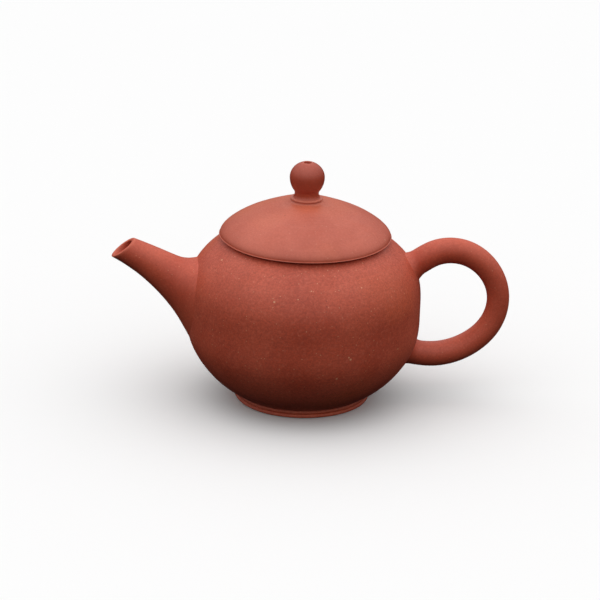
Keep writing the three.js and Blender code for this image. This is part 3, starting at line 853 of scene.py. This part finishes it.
def unworn_seam(piece):
    """Clears the wear where disc and strip meet, since no finger reaches that corner."""
    place = np.array([point.co for point in piece.data.vertices]) / MM - AXIS
    at_seam = np.abs(np.hypot(place[:, 0], place[:, 1]) - DISC_RADIUS) < SEAM_REACH
    wear = piece.data.attributes["edge_wear"].data
    for k in np.flatnonzero(at_seam):
        wear[int(k)].value = 0


lid = turned("lid_dome", disc_outline)
unworn_seam(lid)
fitted(lid, "lid", "lid_clay", lid_clay, "lid_disc")

# %% The strip round the edge
edge_top = np.vstack([[(DISC_RADIUS, seam_height)], dome[dome[:, 0] > DISC_RADIUS]])
LIP_BACK = 0.33  # how far the lip stays inside the model's edge
lip_corners = soften(
    [
        (*edge_top[-1], 0),
        (LID_RADIUS - LIP_BACK, LID_LOW + 0.24, 0.08),
        (LID_RADIUS - LIP_BACK, LID_LOW, 0.10),
        (DISC_RADIUS, LID_LOW, 0),
    ]
)
rim = turned("lid_edge", np.vstack([edge_top[:-1], lip_corners]))
unworn_seam(rim)
fitted(rim, "lid", "lid_clay", lid_clay, "lid_rim")

# %% The ring under the lid
HAIRLINE = 0.02  # left between pieces that are luted together
flange_low = span("lid_flange")[0][2]
flange_radius = span("lid_flange")[1][1]
flange = turned(
    "lid_ring",
    soften(
        [
            (HOLLOW_RADIUS, flange_low, 0.8),
            (flange_radius, flange_low, 0.9),
            (flange_radius, LID_LOW - HAIRLINE, 0),
            (HOLLOW_RADIUS, LID_LOW - HAIRLINE, 0),
        ]
    ),
)
fitted(flange, "lid_flange_ring", "inside_clay", inside_clay, "lid_flange")

# %% The collar under the knob
collar_low, collar_top = (corner[2] for corner in span("knob_collar"))
COLLAR_RADIUS = span("knob_collar")[1][1]
UNDER_LIFT, TOP_LIFT = 0.40, 0.10  # how far the collar's two faces stand above the model's
collar = turned(
    "knob_ring",
    soften(
        [
            (VENT_RADIUS, collar_low + UNDER_LIFT, 0),
            (COLLAR_RADIUS - 0.45, collar_low + UNDER_LIFT, 0.1),
            (COLLAR_RADIUS, collar_low + 0.65, 0.15),
            (COLLAR_RADIUS, collar_top + TOP_LIFT, 0.22),
            (VENT_RADIUS, collar_top + TOP_LIFT, 0),
        ]
    ),
    96,
)
fitted(collar, "lid", "lid_clay", lid_clay, "knob_collar")

# %% The knob
KNOB_RADIUS = span("knob")[1][1]
knob_low, knob_top = span("knob")[0][2], span("knob")[1][2]
WIDEST = 0.565  # share of the knob's height where the ball is widest
KNOB_SUNK = 0.02  # how far the neck reaches under the model's collar top
NECK_TOP = 0.76  # share of the ball's radius where the neck runs into the ball
NECK_KNOTS = [(0.722, 0.35), (0.692, 1.25), (0.715, 2.0)]  # share of the ball's radius, then mm up
VENT_DIMPLE = 1.75  # radius of the hollow round the vent
ball_height = knob_low + WIDEST * (knob_top - knob_low)
rise, fall = knob_top + 0.1 - ball_height, ball_height - knob_low - 0.1
bend = np.linspace(-np.arccos(NECK_TOP), np.arccos(VENT_DIMPLE / KNOB_RADIUS), 60)
ball_heights = ball_height + np.where(bend > 0, rise, fall) * np.sin(bend)
ball = np.stack([KNOB_RADIUS * np.cos(bend), ball_heights], 1)
neck_foot = [(0.79 * KNOB_RADIUS, collar_top - KNOB_SUNK)]
neck_side = [(share * KNOB_RADIUS, knob_low + up_by) for share, up_by in NECK_KNOTS]
neck = smooth_line(neck_foot + neck_side + [tuple(ball[0])], 24)
vent_rim = (VENT_RADIUS, ball[-1][1] + 0.12, 0.45)
vent_edge = soften([(*ball[-1], 0), vent_rim, (VENT_RADIUS, collar_top - KNOB_SUNK, 0)])
knob = turned("knob_ball", np.vstack([neck[:-1], ball[:-1], vent_edge]), 96)
fitted(knob, "lid", "lid_clay", knob_clay_painted_shade, "knob")

# %% [markdown]
# ## Table and light
# The pot stands on a plain pale table in a white room. The light comes from a wide soft panel overhead
# and fades towards the sides, as in a tent of white cloth, so the top of the lid is the brightest and
# the belly darkens steadily from the shoulder down. A pale table would throw light back up under the
# belly and flatten that. So the table is seen by the camera but not by the light that reaches the clay:
# the clay sees a dim floor in the sky's lower half instead. The view transform is Standard, since AgX
# would grey the white table and dull the red.

# %% The table
TABLE_SIZE = 6.0
table_mesh = bpy.data.meshes.new("table")
half = TABLE_SIZE / 2
table_corners = [(-half, -half, 0), (half, -half, 0), (half, half, 0), (-half, half, 0)]
table_mesh.from_pydata(table_corners, [], [(0, 1, 2, 3)])
table = bpy.data.objects.new("table", table_mesh)
bpy.context.scene.collection.objects.link(table)
table_paint = bpy.data.materials.new("pale_table")
table_paint.use_nodes = True
paint = table_paint.node_tree.nodes["Principled BSDF"]
paint.inputs["Base Color"].default_value = (0.95, 0.95, 0.95, 1)
paint.inputs["Roughness"].default_value = 0.9
table_mesh.materials.append(table_paint)
table.visible_diffuse = False
table.visible_glossy = False
table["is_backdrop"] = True
print(f"a table {TABLE_SIZE} m wide")

# %% The light
ZENITH_COLOUR = (1.50, 1.50, 1.50, 1)
LEVEL_COLOUR = (0.13, 0.13, 0.13, 1)
FLOOR_COLOUR = (0.006, 0.006, 0.008, 1)
HORIZON = (-0.04, 0.10)  # the floor turns into sky between these rises
world = bpy.data.worlds.new("white_room")
bpy.context.scene.world = world
world.use_nodes = True
tree = world.node_tree
direction = add(tree, "TexCoord", {}).outputs["Generated"]
rise = add(tree, "SeparateXYZ", {0: direction}).outputs["Z"]
climb = add(tree, "MapRange", {"Value": rise, "From Min": 0.0, "From Max": 1.0}).outputs[0]
sky = laid_over(tree, climb, LEVEL_COLOUR, ZENITH_COLOUR)
sky = laid_over(tree, ramp(tree, rise, *HORIZON), FLOOR_COLOUR, sky)
tree.links.new(sky, tree.nodes["Background"].inputs["Color"])
tree.nodes["Background"].inputs["Strength"].default_value = 1.0
bpy.context.scene.view_settings.view_transform = "Standard"
print("the room is brightest overhead and dim below")

# %% [markdown]
# ## The camera
# A long lens from about a metre away keeps the pot's own proportions. It looks down by twenty degrees,
# enough to show the top of the lid and the mouth of the spout, and the pot is turned a few degrees.

# %% The camera
LOOK_DOWN = np.radians(20)
TURNED_BY = np.radians(-4)
ROLL = np.radians(1.601)  # it leans a little to one side
DISTANCE = 1.032  # m
LENS = 182.98  # mm
AIM = Vector((-1.26, 0, 34.05)) * MM  # what it looks at, from the pot's axis, before it is turned

forward = Vector((0, np.cos(LOOK_DOWN), -np.sin(LOOK_DOWN)))
right = Vector((1, 0, 0))
up = right.cross(forward)
right, up = right * np.cos(ROLL) + up * np.sin(ROLL), up * np.cos(ROLL) - right * np.sin(ROLL)
frame_of_view = Matrix((right, up, -forward)).transposed().to_4x4()
frame_of_view.translation = AIM - DISTANCE * forward
camera_data = bpy.data.cameras.new("camera")
camera_data.lens = LENS
camera = bpy.data.objects.new("camera", camera_data)
pot_turned = Matrix.Translation(Vector(AXIS) * MM) @ Matrix.Rotation(TURNED_BY, 4, "Z")
camera.matrix_world = pot_turned @ frame_of_view
bpy.context.scene.collection.objects.link(camera)
bpy.context.scene.camera = camera
print("camera at", [round(value, 3) for value in camera.matrix_world.translation])

# %% [markdown]
# ## Checking the size
# The finished pot has to fill the same box as the working model. How far the pot's box steps outside
# the model's box is printed.

# %% Sizes and finish
shown_low, shown_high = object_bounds()
outside = max(max(model_low - shown_low), max(shown_high - model_high))
print("largest step outside the model's box, mm:", round(outside / MM, 3))
